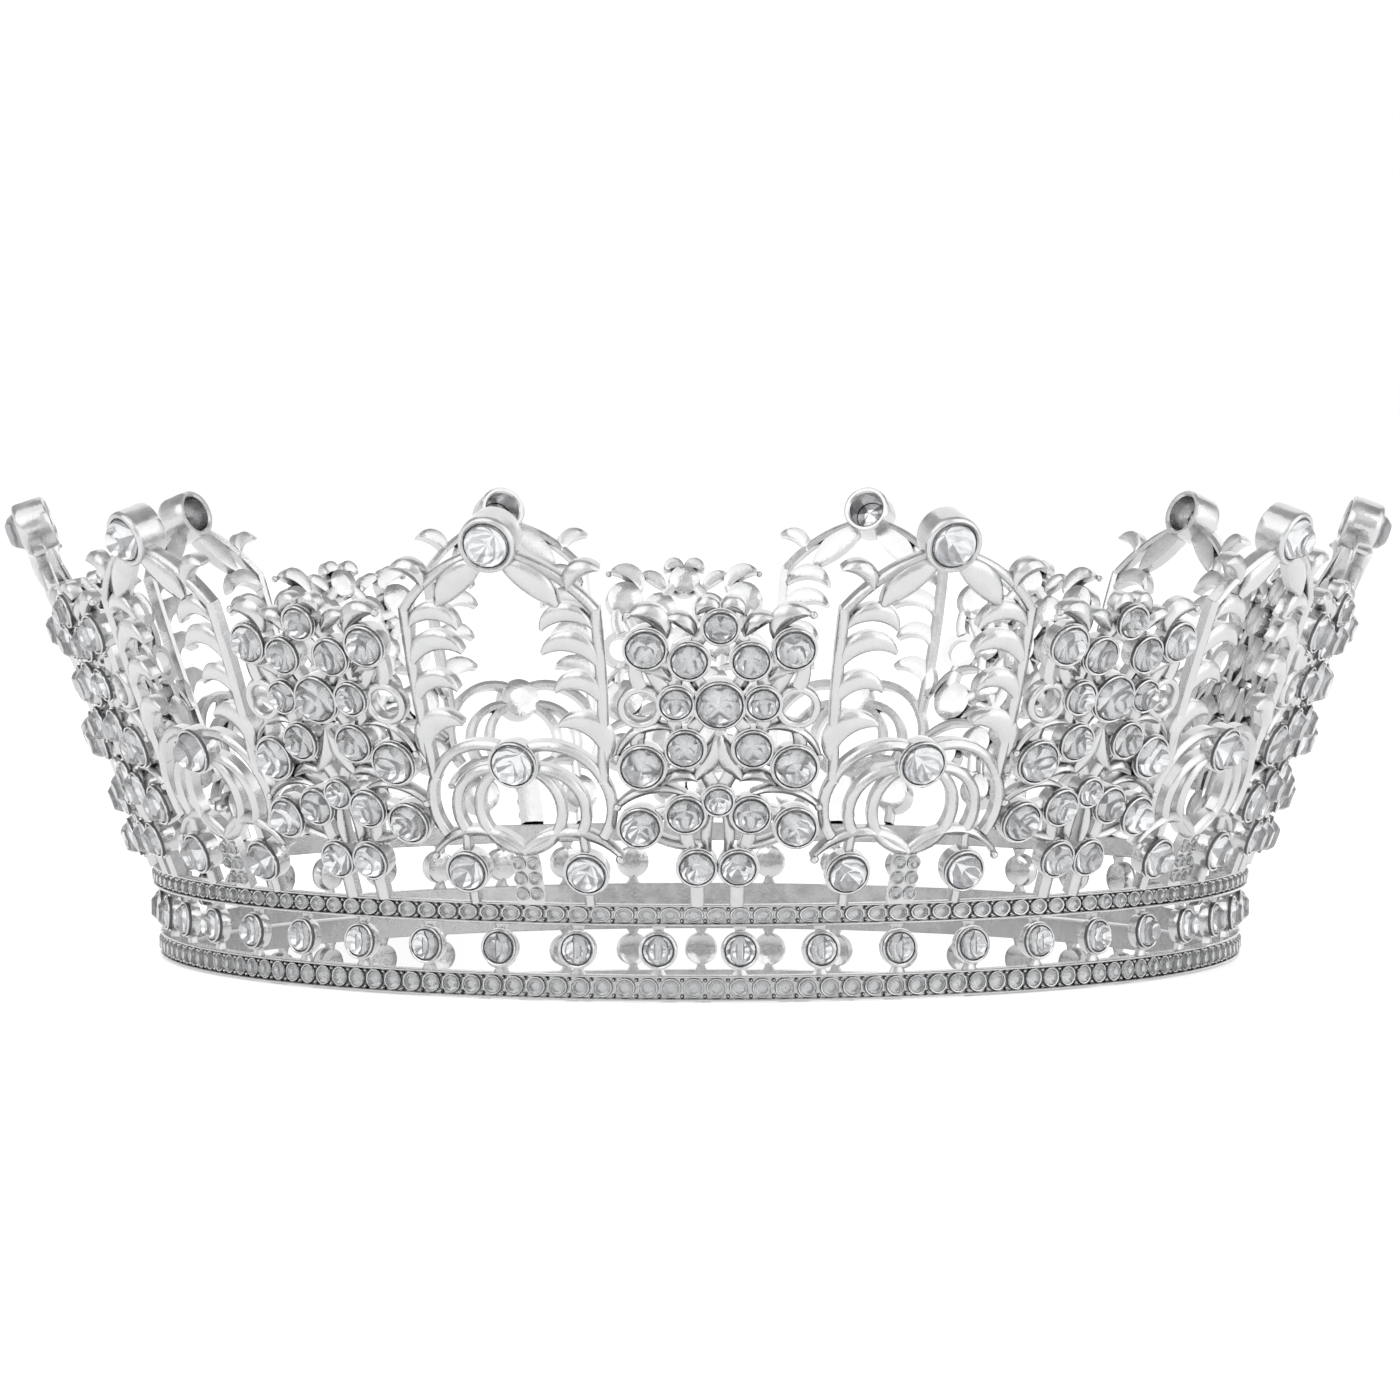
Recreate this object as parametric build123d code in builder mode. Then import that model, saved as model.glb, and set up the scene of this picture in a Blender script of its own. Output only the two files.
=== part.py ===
"""A full-round bridal crown: two beaded rails with a row of round stones between them, and above
them a flared openwork wall of ten peaks and ten fans, with a large stone at each of the ten tips.

Millimetres, +Z up. The origin is the centre of the foot, on the surface that the crown stands on.
Angles are counted from the front, which faces -Y, and grow towards +X.
"""

import os
from math import atan2, cos, degrees, radians, sin, tan

from build123d import *

# --- driving dimensions -----------------------------------------------------------------------
TIPS = 10                    # peaks round the crown, with one fan between each two
STEP = 360 / TIPS            # angle from one peak to the next
FRAME_HALF = STEP / 4        # half the angle that a peak frame or a fan frame takes

LOWER_RAIL_TOP = 3.26
UPPER_RAIL_FOOT = 9.7
WALL_FOOT = 12.4             # top of the upper rail, where the openwork starts
LOWER_RAIL_OUT, LOWER_RAIL_IN = 75.2, 73.0
UPPER_RAIL_OUT, UPPER_RAIL_IN = 76.2, 74.0
GROOVE_DEPTH = 1.0           # channel in each rail that holds its beads
FLANGE = 0.3                 # plain edge above and below the channel
BEADS = 160                  # beads round each rail
BEAD_HEIGHT = 1.25

TIP_HEIGHT, TIP_RADIUS = 58.7, 93.5
WALL_TOP = 66.0              # above every point of the openwork
PANEL_FOOT = WALL_FOOT - 2.0 # the panels start below the wall and are cut off level
WALL_THICK = 1.4
SWEEP_IN, SWEEP_OUT = 60.0, 110.0  # the whole wall lies between these distances from the axis
CLEAR = 2.0                  # how far a cutting tool stands past what it cuts
FLARE = degrees(atan2(TIP_RADIUS - UPPER_RAIL_OUT, TIP_HEIGHT - WALL_FOOT))

CUP_RIM = 0.3                # metal round a stone
CUP_PROUD = 1.2              # how far a cup stands out of the wall
CUP_BACK = 1.7               # how far behind the wall's face its flat back is
GIRDLE_PROUD = 0.9           # height of a stone's widest line over the wall
SEAT_DEPTH = 1.35            # depth of a stone's seat below the wall's face
SEAT_GAP = 0.05
BACK_HOLE = 0.3              # radius of the hole behind a tip stone, over the stone's diameter
TIP_SEAT_DEPTH = 0.9
PAVILION, CROWN = 0.36, 0.34 # a stone's depth below and height above its girdle, over its diameter

BAND_STONES = 45             # stones between the rails
BAND_START = 2.3             # angle of the first one
BAND_RADIUS, BAND_HEIGHT = 75.3, 6.48
BAND_STONE_D, BAND_CUP_D = 4.2, 4.8
BAND_CUP_DEPTH, BAND_SEAT_DEPTH = 2.15, 1.87
POST_WIDTH, POST_THICK = 1.3, 1.0
GIRDLE_SUNK = 0.3            # how far the band and tip stones' girdles are below their cups' rims

TIP_STONE_D, TIP_CUP_D = 6.0, 7.4
TIP_CUP_DEPTH, TIP_CUP_PROUD = 4.6, 1.1

PEAK_STONE = (0, 30.8, 5.7)                      # angle, height, diameter
FLANK_STONES = [(-5.8, 16.7, 5.1), (5.8, 16.7, 5.1)]
STEM_BEAD_D, STEM_BEAD_HEIGHT, STEM_BEAD_SUNK = 1.7, 0.9, 0.3
STEM_BEADS = [(side, height) for side in (-0.7, 0.7) for height in (13.7, 15.7, 17.7)]

# The fan's stones from the middle outwards: (angle, height, diameter), mirrored about the middle.
FAN_LARGE = [(0, 38.6, 6.0), (6.6, 30.6, 5.5)]
FAN_MEDIUM = [(6.0, 45.7, 5.1), (7.0, 22.8, 5.1), (2.5, 44.2, 4.7), (2.9, 33.0, 4.7)]
FAN_SMALL = [(2.9, 24.5, 4.7), (1.9, 17.6, 4.6), (3.6, 38.8, 4.2), (0, 48.5, 4.3), (0, 26.3, 3.7)]

WIRE = 1.5                   # width of the scroll wires
STEM = 1.8                   # width of the stems
VEIN = 1.9                   # width of the wires between the fan's cups
TIE = 1.6                    # width of the ties where two frames are soldered
TIE_HEIGHTS = [20.6, 30.6, 38.0, 45.7]
PANEL_HALF = FRAME_HALF / 3  # the wall is rolled in narrow flat panels, three to a frame


# --- places on the wall -----------------------------------------------------------------------
def wall_radius(height):
    """Outer radius of the flared wall at a height."""
    return UPPER_RAIL_OUT + (height - WALL_FOOT) * tan(radians(FLARE))


def spot(angle, height):
    """A place on the wall in the flat drawing of a frame, across and up the slope."""
    return (wall_radius(height) * sin(radians(angle)), (height - WALL_FOOT) / cos(radians(FLARE)))


def facing(angle, radius, height, flare=0.0):
    """The plane of a stone: Z points out of the wall, X along it."""
    out = Vector(sin(radians(angle)), -cos(radians(angle)), 0)
    normal = out * cos(radians(flare)) - Vector(0, 0, 1) * sin(radians(flare))
    return Plane(out * radius + Vector(0, 0, height), x_dir=Vector(0, 0, 1).cross(out), z_dir=normal)


def on_wall(angle, height):
    """The plane of a stone on the flared wall."""
    return facing(angle, wall_radius(height), height, FLARE)


def section(angle):
    """The upright plane through the crown's axis: X points outwards, Y up."""
    out = Vector(sin(radians(angle)), -cos(radians(angle)), 0)
    return Plane((0, 0, 0), x_dir=out, z_dir=out.cross(Vector(0, 0, 1)))


def both_sides(stones):
    """The stones with their mirror images; a stone on the middle line stays single."""
    return [(side * angle, height, size) for angle, height, size in stones
            for side in ((1, -1) if angle else (1,))]


def all_round(stones, start):
    """The planes of one frame's stones, repeated round the crown."""
    return [on_wall(start + number * STEP + angle, height)
            for number in range(TIPS) for angle, height, _ in stones]


def save(part, name):
    """Labels a finished piece and writes it."""
    part.label = name
    export_step(part, f"parts/{name}.step")


os.makedirs("parts", exist_ok=True)


# --- rails and what they carry ----------------------------------------------------------------
def make_rail(inner, outer, foot, top):
    """A ring with a channel round its outside."""
    floor = outer - GROOVE_DEPTH
    with BuildPart() as rail:
        with BuildSketch(Plane.XZ):
            with BuildLine():
                Polyline((inner, foot), (outer, foot), (outer, foot + FLANGE), (floor, foot + FLANGE),
                         (floor, top - FLANGE), (outer, top - FLANGE), (outer, top), (inner, top),
                         close=True)
            make_face()
        revolve(axis=Axis.Z)
    return rail.part


def make_bead(diameter, height):
    """A small flat-backed bead with a sloping crown, standing on XY."""
    radius = diameter / 2
    with BuildPart() as bead:
        with BuildSketch(Plane.XZ):
            with BuildLine():
                Polyline((0, 0), (radius, 0), (radius, 0.45 * height),
                         (0.55 * radius, height), (0, height), close=True)
            make_face()
        revolve(axis=Axis.Z)
    return bead.part


def make_stone(diameter):
    """A cut stone with its girdle on XY: a pointed back, a high sloping crown and a flat table."""
    radius = diameter / 2
    girdle = 0.03 * diameter
    with BuildPart() as stone:
        with BuildSketch(Plane.XZ):
            with BuildLine():
                Polyline((0, -PAVILION * diameter), (radius, 0), (radius, girdle),
                         (0.86 * radius, 0.6 * CROWN * diameter), (0.5 * radius, CROWN * diameter),
                         (0, CROWN * diameter), close=True)
            make_face()
        revolve(axis=Axis.Z)
    return stone.part


def make_cup(cup_diameter, stone_diameter, back, front):
    """An open-backed cup from back to front, with a stone's seat cut into it."""
    with BuildPart() as cup:
        with Locations((0, 0, back)):
            Cylinder(cup_diameter / 2, front - back, align=(Align.CENTER, Align.CENTER, Align.MIN))
        with Locations((0, 0, front)):
            CounterBoreHole(BACK_HOLE * stone_diameter, stone_diameter / 2 + SEAT_GAP,
                            front + TIP_SEAT_DEPTH)
    return cup.part


def make_group(shape, planes):
    """One node that holds a copy of the shape on each plane."""
    with BuildPart() as group:
        with Locations(*planes):
            add(shape)
    return group.part


rails = [
    ("lower_rail", LOWER_RAIL_IN, LOWER_RAIL_OUT, 0, LOWER_RAIL_TOP),
    ("upper_rail", UPPER_RAIL_IN, UPPER_RAIL_OUT, UPPER_RAIL_FOOT, WALL_FOOT),
]
for name, inner, outer, foot, top in rails:
    save(make_rail(inner, outer, foot, top), name)
    bead = make_bead(top - foot - 2 * FLANGE - 2 * SEAT_GAP, BEAD_HEIGHT)
    seats = [facing(number * 360 / BEADS, outer - GROOVE_DEPTH, (foot + top) / 2)
             for number in range(BEADS)]
    save(make_group(bead, seats), name + "_beads")

# Each band setting is a cup with a post up to the upper rail and one down to the lower rail.
with BuildPart() as band_setting:
    with Locations((0, 0, -BAND_CUP_DEPTH)):
        Cylinder(BAND_CUP_D / 2, BAND_CUP_DEPTH, align=(Align.CENTER, Align.CENTER, Align.MIN))
        Box(POST_WIDTH, UPPER_RAIL_FOOT - LOWER_RAIL_TOP, POST_THICK,
            align=(Align.CENTER, Align.CENTER, Align.MIN))
    Hole(BAND_STONE_D / 2 + SEAT_GAP, BAND_SEAT_DEPTH)
band_places = [facing(BAND_START + number * 360 / BAND_STONES, BAND_RADIUS, BAND_HEIGHT)
               for number in range(BAND_STONES)]
save(make_group(band_setting.part, band_places), "band_settings")
girdles = [place.offset(-GIRDLE_SUNK) for place in band_places]
save(make_group(make_stone(BAND_STONE_D), girdles), "band_stones")


# --- the openwork wall ------------------------------------------------------------------------
def arc(start, middle, end, width):
    """A curved wire through three places of the wall, in the sketch that is open."""
    with BuildLine() as path:
        ThreePointArc(spot(*start), spot(*middle), spot(*end))
    trace(path.line, line_width=width)


def bar(start, end, width):
    """A straight wire between two places of the wall."""
    with BuildLine() as path:
        Line(spot(*start), spot(*end))
    trace(path.line, line_width=width)


def leaf(start, outer, end, inner):
    """A pointed leaf between two arcs that share their ends."""
    with BuildLine() as outline:
        ThreePointArc(spot(*start), spot(*outer), spot(*end))
        ThreePointArc(spot(*end), spot(*inner), spot(*start))
    make_face(outline.edges())


def draw_peak_half():
    """The right half of a peak, seen from outside: from the foot up to the tip."""
    bar((0, 12), (0, 19.6), 2 * spot(1.45, 15)[0])                     # beaded stem
    arc((0, 19.2), (3.9, 24.6), (1.6, 29.6), WIRE)                     # teardrop under the stone
    arc((0, 19.0), (5.4, 21.6), (9.4, 18.6), WIRE)                     # arch over the flank stone
    bar((5.8, 12), (5.8, 16), WIRE)                                    # foot of the flank cup
    bar((5.8, 18.6), (5.6, 21.4), WIRE)                                # from its cup to the arch
    arc((1.6, 29.8), (4.6, 28.6), (5.6, 21.6), WIRE)                   # scroll, stone to arch
    arc((1.4, 32.6), (4.8, 32.4), (7.8, 28.6), WIRE)                   # scroll, stone to stem
    arc((7.8, 28.6), (8.5, 25.2), (7.6, 21.4), WIRE)                   # stem's foot
    arc((7.8, 28.6), (8.1, 39.8), (8.0, 51.0), STEM)                   # side stem
    arc((8.0, 50.8), (5.0, 53.5), (1.9, 56.8), STEM)                   # shoulder up to the tip
    leaf((0.3, 56.6), (4.3, 54.9), (5.2, 50.4), (2.4, 52.6))           # leaf of the ogee
    leaf((6.0, 52.4), (6.5, 56.4), (8.8, 55.2), (7.3, 54.6))           # outward curl
    leaf((7.9, 47.6), (5.4, 51.2), (3.4, 47.2), (5.4, 48.8))           # inward leaves, top to bottom
    leaf((8.1, 42.4), (6.0, 47.6), (3.2, 44.2), (5.6, 45.0))
    leaf((8.1, 37.6), (6.2, 42.6), (4.1, 39.4), (5.8, 40.2))
    leaf((8.0, 30.6), (6.2, 37.4), (4.0, 35.2), (5.8, 35.0))


def draw_fan_half():
    """The right half of a fan: cups joined by veins, with scrolls round its edge."""
    veins = [((2.5, 44.2), (3.6, 38.8)), ((3.6, 38.8), (6.0, 45.7)),
             ((0, 48.5), (2.5, 44.2)), ((2.5, 44.2), (6.0, 45.7)), ((2.5, 44.2), (0, 38.6)),
             ((0, 38.6), (3.6, 38.8)), ((0, 38.6), (2.9, 33.0)), ((3.6, 38.8), (2.9, 33.0)),
             ((2.9, 33.0), (6.6, 30.6)), ((2.9, 33.0), (0, 26.3)), ((0, 26.3), (2.9, 24.5)),
             ((2.9, 24.5), (7.0, 22.8)), ((2.9, 24.5), (1.9, 17.6)), ((1.9, 12), (1.9, 17.6)),
             ((6.0, 45.7), (6.6, 40.4)), ((6.6, 35.6), (6.6, 30.6)), ((3.6, 38.8), (4.9, 38.0))]
    for start, end in veins:
        bar(start, end, VEIN)
    with Locations(spot(6.6, 38.0)):
        Circle(3.0)
        Circle(1.9, mode=Mode.SUBTRACT)
    arc((3.4, 35.0), (6.4, 35.2), (8.8, 31.6), WIRE)                   # scroll over the outer stone
    arc((2.9, 26.8), (6.0, 27.4), (9.0, 25.2), WIRE)                   # scroll over the lower stone
    arc((1.8, 20.0), (4.6, 20.6), (7.0, 22.4), WIRE)                   # scroll under it
    leaf((0, 50.2), (1.2, 52.0), (1.9, 49.6), (0.8, 50.2))             # curls on the top edge
    leaf((4.4, 46.4), (4.9, 50.9), (7.5, 49.6), (5.8, 48.7))
    leaf((1.9, 46.9), (2.6, 49.8), (4.4, 49.4), (3.2, 48.0))
    leaf((3.9, 41.2), (4.6, 43.3), (6.5, 42.6), (5.2, 41.8))           # petals between the cups
    leaf((0.1, 34.9), (1.5, 32.2), (2.3, 28.4), (0.2, 30.4))
    leaf((1.6, 28.4), (3.4, 30.1), (5.2, 27.8), (3.4, 28.5))
    leaf((0.2, 25.4), (1.6, 22.0), (0.5, 18.4), (0.5, 21.8))


def draw_ties(inner):
    """Short ties that end at the frame's edge, where its neighbour's ties meet them."""
    for height in TIE_HEIGHTS:
        bar((inner, height), (FRAME_HALF + 1, height), TIE)


def add_panel(middle):
    """A flat panel of the wall, whose side edges lie on the cone, added to the part that is open."""
    out = Vector(sin(radians(middle)), -cos(radians(middle)), 0)
    low = out * wall_radius(PANEL_FOOT) * cos(radians(PANEL_HALF)) + Vector(0, 0, PANEL_FOOT)
    high = out * wall_radius(WALL_TOP) * cos(radians(PANEL_HALF)) + Vector(0, 0, WALL_TOP)
    across = Vector(0, 0, 1).cross(out)
    length = (high - low).length
    low_half, high_half = (wall_radius(z) * sin(radians(PANEL_HALF)) for z in (PANEL_FOOT, WALL_TOP))
    with BuildSketch(Plane(low, x_dir=across, z_dir=across.cross(high - low))) as outline:
        with BuildLine():
            Polyline((-low_half, 0), (low_half, 0), (high_half, length), (-high_half, length), close=True)
        make_face()
    extrude(outline.sketch, amount=-WALL_THICK)


def make_frame(draw_half, tie_start, stones):
    """A frame of the openwork at the front: the flat drawing pushed through the curved wall."""
    with BuildPart() as shell:
        for middle in (-2 * PANEL_HALF, 0, 2 * PANEL_HALF):
            add_panel(middle)
    with BuildPart() as sector:
        with BuildSketch(section(-FRAME_HALF)):
            with BuildLine():
                Polyline((SWEEP_IN, WALL_FOOT), (SWEEP_OUT, WALL_FOOT),
                         (SWEEP_OUT, WALL_TOP), (SWEEP_IN, WALL_TOP), close=True)
            make_face()
        revolve(axis=Axis.Z, revolution_arc=2 * FRAME_HALF)
    with BuildPart() as frame:
        with BuildSketch(on_wall(0, WALL_FOOT)):
            draw_half()
            draw_ties(tie_start)
            mirror(about=Plane.YZ)
        extrude(amount=WALL_THICK + CLEAR, both=True)
        add(shell.part, mode=Mode.INTERSECT)
        for angle, height, size in stones:
            with Locations(on_wall(angle, height).offset(-CUP_BACK)):
                Cylinder(size / 2 + CUP_RIM, CUP_BACK + CUP_PROUD,
                         align=(Align.CENTER, Align.CENTER, Align.MIN))
        for angle, height, size in stones:
            with Locations(on_wall(angle, height).offset(CUP_PROUD)):
                Hole(size / 2 + SEAT_GAP, CUP_PROUD + SEAT_DEPTH)
        add(sector.part, mode=Mode.INTERSECT)
    return frame.part


def cut_from(frame, tools):
    """The frame with the room for other pieces taken out of it."""
    with BuildPart() as cut:
        add(frame)
        for tool in tools:
            add(tool, mode=Mode.SUBTRACT)
    return cut.part


def make_pockets(places, radius, depth):
    """Round pockets from just over the wall down to a depth."""
    with BuildPart() as pockets:
        for place in places:
            with Locations(place.offset(-depth)):
                Cylinder(radius, depth + CLEAR, align=(Align.CENTER, Align.CENTER, Align.MIN))
    return pockets.part


def save_frames(frame, name, start):
    """Ten copies of a frame round the crown, each its own node."""
    for number in range(TIPS):
        with BuildPart() as copy:
            with Locations(Location((0, 0, 0), (0, 0, start + number * STEP))):
                add(frame)
        save(copy.part, f"{name}_{number + 1:02d}")


tip_place = on_wall(0, TIP_HEIGHT)
tip_room = make_pockets([tip_place], TIP_CUP_D / 2, TIP_CUP_DEPTH)
bead_places = [on_wall(angle, height) for angle, height in STEM_BEADS]
bead_room = make_pockets(bead_places, STEM_BEAD_D / 2 + SEAT_GAP, STEM_BEAD_SUNK)
peak = make_frame(draw_peak_half, 7.6, [PEAK_STONE] + FLANK_STONES)
save_frames(cut_from(peak, [tip_room, bead_room]), "peak_frame", STEP / 2)

fan_stones = both_sides(FAN_LARGE + FAN_MEDIUM + FAN_SMALL)
save_frames(make_frame(draw_fan_half, 6.8, fan_stones), "fan_frame", 0)

# --- tip cups and all the stones of the wall --------------------------------------------------
tips = all_round([(0, TIP_HEIGHT, TIP_STONE_D)], STEP / 2)
tip_cup = make_cup(TIP_CUP_D, TIP_STONE_D, TIP_CUP_PROUD - TIP_CUP_DEPTH, TIP_CUP_PROUD)
save(make_group(tip_cup, tips), "tip_settings")
girdles = [tip.offset(TIP_CUP_PROUD - GIRDLE_SUNK) for tip in tips]
save(make_group(make_stone(TIP_STONE_D), girdles), "tip_stones")

stone_groups = [
    ("peak_stones", [PEAK_STONE], STEP / 2),
    ("flank_stones", FLANK_STONES, STEP / 2),
    ("fan_stones_large", both_sides(FAN_LARGE), 0),
    ("fan_stones_medium", both_sides(FAN_MEDIUM), 0),
    ("fan_stones_small", both_sides(FAN_SMALL), 0),
]
for name, stones, start in stone_groups:
    with BuildPart() as group:
        for size in sorted({size for _, _, size in stones}):
            of_this_size = [stone for stone in stones if stone[2] == size]
            with Locations(*[place.offset(GIRDLE_PROUD) for place in all_round(of_this_size, start)]):
                add(make_stone(size))
    save(group.part, name)

stem_beads = all_round([(angle, height, STEM_BEAD_D) for angle, height in STEM_BEADS], STEP / 2)
sunk_places = [place.offset(-STEM_BEAD_SUNK) for place in stem_beads]
save(make_group(make_bead(STEM_BEAD_D, STEM_BEAD_HEIGHT), sunk_places), "stem_beads")
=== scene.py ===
"""Looks of the crown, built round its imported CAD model.

Shapes are drawn in millimetres on a flat picture of the flared wall (x across, y up the slope, w out
of the wall), bent round the crown, and turned to metres when their mesh is made. Angles are counted
from the front, which faces -Y, and grow towards +X.
"""

import math

import bpy
import numpy as np
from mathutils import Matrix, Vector


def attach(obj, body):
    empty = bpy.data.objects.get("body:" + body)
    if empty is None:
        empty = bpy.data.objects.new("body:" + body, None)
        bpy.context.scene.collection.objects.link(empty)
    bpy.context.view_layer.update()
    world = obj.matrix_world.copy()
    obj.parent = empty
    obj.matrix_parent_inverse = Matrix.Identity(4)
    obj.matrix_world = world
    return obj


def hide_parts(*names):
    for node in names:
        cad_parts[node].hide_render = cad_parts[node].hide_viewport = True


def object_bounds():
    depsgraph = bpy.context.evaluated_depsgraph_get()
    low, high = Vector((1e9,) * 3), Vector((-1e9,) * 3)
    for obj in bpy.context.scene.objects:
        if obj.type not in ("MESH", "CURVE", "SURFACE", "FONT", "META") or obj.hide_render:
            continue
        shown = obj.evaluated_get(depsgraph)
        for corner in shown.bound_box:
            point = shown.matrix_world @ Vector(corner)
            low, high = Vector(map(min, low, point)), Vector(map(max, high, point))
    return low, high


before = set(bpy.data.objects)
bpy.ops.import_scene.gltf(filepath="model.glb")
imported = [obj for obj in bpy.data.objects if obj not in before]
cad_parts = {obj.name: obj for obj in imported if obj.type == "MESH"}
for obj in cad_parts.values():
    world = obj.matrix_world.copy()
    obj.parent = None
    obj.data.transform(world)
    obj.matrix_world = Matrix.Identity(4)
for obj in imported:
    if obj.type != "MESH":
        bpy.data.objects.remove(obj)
cad_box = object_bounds()

# --- driving dimensions, in millimetres and degrees, as in the CAD model -------------------------
MM = 0.001
TIPS = 10
STEP = 360 / TIPS
LOWER_RAIL = dict(foot=0.0, top=3.26, inner=73.0, outer=75.2)
UPPER_RAIL = dict(foot=9.7, top=12.4, inner=74.0, outer=76.2)
GROOVE_DEPTH, FLANGE = 1.0, 0.3
BEADS = 160
WALL_FOOT, FOOT_RADIUS = 12.4, 76.2
TIP_HEIGHT, TIP_RADIUS = 58.7, 93.5
FLARE = math.atan2(TIP_RADIUS - FOOT_RADIUS, TIP_HEIGHT - WALL_FOOT)
WALL_THICK = 1.4
CUP_RIM, CUP_PROUD, CUP_BACK, GIRDLE_PROUD = 0.3, 1.2, 1.7, 0.9
PAVILION, CROWN = 0.36, 0.34
SHADOW_GAP = 0.16            # width of a dark band painted as the shadow between a cup's lip and its stone
BAND_STONES, BAND_START, BAND_RADIUS, BAND_HEIGHT = 45, 2.3, 75.3, 6.48
BAND_STONE_D, BAND_CUP_D, BAND_CUP_DEPTH = 4.2, 4.8, 2.15
TIP_STONE_D, TIP_CUP_D, TIP_CUP_DEPTH, TIP_CUP_PROUD = 6.0, 7.4, 4.6, 1.1
GIRDLE_SUNK = 0.3
PEAK_STONE = (0, 30.8, 5.7)
FLANK_STONE = (5.8, 16.7, 5.1)
FAN_LARGE = [(0, 38.6, 6.0), (6.6, 30.6, 5.5)]
FAN_MEDIUM = [(6.0, 45.7, 5.1), (7.0, 22.8, 5.1), (2.5, 44.2, 4.7), (2.9, 33.0, 4.7)]
FAN_SMALL = [(2.9, 24.5, 4.7), (1.9, 17.6, 4.6), (3.6, 38.8, 4.2), (0, 48.5, 4.3), (0, 26.3, 3.7)]
STEM_BEAD_D, STEM_SEED_HEIGHT = 1.7, 0.9
STEM_BEADS = [(side, height) for side in (-0.7, 0.7) for height in (13.7, 15.7, 17.7)]

WIRE, VEIN, THIN_WIRE = 1.45, 1.8, 1.2         # widths of the castings' wires
COLLAR, SEED_HEIGHT, GRAIN = 0.14, 1.15, 0.3   # the small stones' collars and the grains beside them
SCROLL_BALL = 0.55                             # radius of the grain at a scroll's end

# --- fineness of the meshes -----------------------------------------------------------------------
RAIL_SEGMENTS, TIP_CUP_SEGMENTS, CUP_SEGMENTS, RING_SEGMENTS = 320, 40, 28, 24
COLLAR_SEGMENTS, BALL_SEGMENTS, BALL_ROWS, GRAIN_SEGMENTS = 14, 12, 7, 7
SHARP_EDGE = math.radians(38)

# --- material slots inside a piece ----------------------------------------------------------------
METAL, GLASS, FOIL, SHADE, POLISHED = range(5)
MATERIALS = []


# --- the flat picture of the wall -----------------------------------------------------------------
def spot(angle, height):
    """A place on the wall in the flat picture."""
    radius = FOOT_RADIUS + (height - WALL_FOOT) * math.tan(FLARE)
    return np.array([radius * math.radians(angle), (height - WALL_FOOT) / math.cos(FLARE)])


def bend(points, turn):
    """Points of the flat picture, rolled round the flared wall and turned round the crown."""
    x, y, w = points.T
    radius = FOOT_RADIUS + y * math.sin(FLARE)
    angle = x / radius + math.radians(turn)
    out = radius + w * math.cos(FLARE)
    height = WALL_FOOT + y * math.cos(FLARE) - w * math.sin(FLARE)
    return np.stack([out * np.sin(angle), -out * np.cos(angle), height], axis=1)


def upright(radius, height):
    """A function that stands a shape on the band: x along it, y up, w out from the radius."""
    def stand(points, turn):
        x, y, w = points.T
        angle = math.radians(turn)
        out = radius + w
        return np.stack([out * math.sin(angle) + x * math.cos(angle),
                         -out * math.cos(angle) + x * math.sin(angle), height + y], axis=1)
    return stand


class Shape:
    """Points and faces of a piece, gathered in millimetres before its mesh is made."""

    def __init__(self):
        self.points, self.faces, self.slots, self.smooth, self.count = [], [], [], [], 0

    def add(self, points, faces, slot=METAL, smooth=True):
        """Adds faces, each a tuple of indices into these points."""
        points = np.asarray(points, float)
        self.points.append(points)
        self.faces += [tuple(i + self.count for i in face) for face in faces]
        self.slots += [slot] * len(faces)
        self.smooth += [smooth] * len(faces)
        self.count += len(points)

    def join(self, other, move=None):
        """Adds another shape, with its points changed by a function."""
        points = np.concatenate(other.points)
        self.points.append(points if move is None else move(points))
        self.faces += [tuple(i + self.count for i in face) for face in other.faces]
        self.slots += other.slots
        self.smooth += other.smooth
        self.count += len(points)

    def mirrored(self):
        """The shape's mirror image across x = 0, with its faces turned back outwards."""
        image = Shape()
        image.points = [np.concatenate(self.points) * [-1, 1, 1]]
        image.faces = [face[::-1] for face in self.faces]
        image.slots, image.smooth, image.count = list(self.slots), list(self.smooth), self.count
        return image


def at(place, w=0.0, spin=0.0):
    """A function that moves a shape to a place of the flat picture."""
    c, s = math.cos(spin), math.sin(spin)

    def move(points):
        x, y, z = points.T
        return np.stack([x * c - y * s + place[0], x * s + y * c + place[1], z + w], axis=1)
    return move


# --- turned shapes, cups and stones ---------------------------------------------------------------
def lathe(profile, segments, slot=METAL, closed=True):
    """A ring turned round w from a profile of (radius, w), in the order that faces it outwards."""
    angles = np.arange(segments) * 2 * math.pi / segments
    points = [(r * math.cos(a), r * math.sin(a), w) for a in angles for r, w in profile]
    n = len(profile)
    faces = []
    for i in range(segments):
        j = (i + 1) % segments
        for k in range(n if closed else n - 1):
            m = (k + 1) % n
            faces.append((i * n + k, j * n + k, j * n + m, i * n + m))
    shape = Shape()
    shape.add(points, faces, slot)
    return shape


def capped(profile, segments, slot=METAL):
    """A solid turned round w from an open profile, closed by a flat face at each end."""
    shape = lathe(profile, segments, slot, closed=False)
    n = len(profile)
    shape.faces += [tuple(i * n + n - 1 for i in range(segments)),
                    tuple(i * n for i in reversed(range(segments)))]
    shape.slots += [slot] * 2
    shape.smooth += [True] * 2
    return shape


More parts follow.
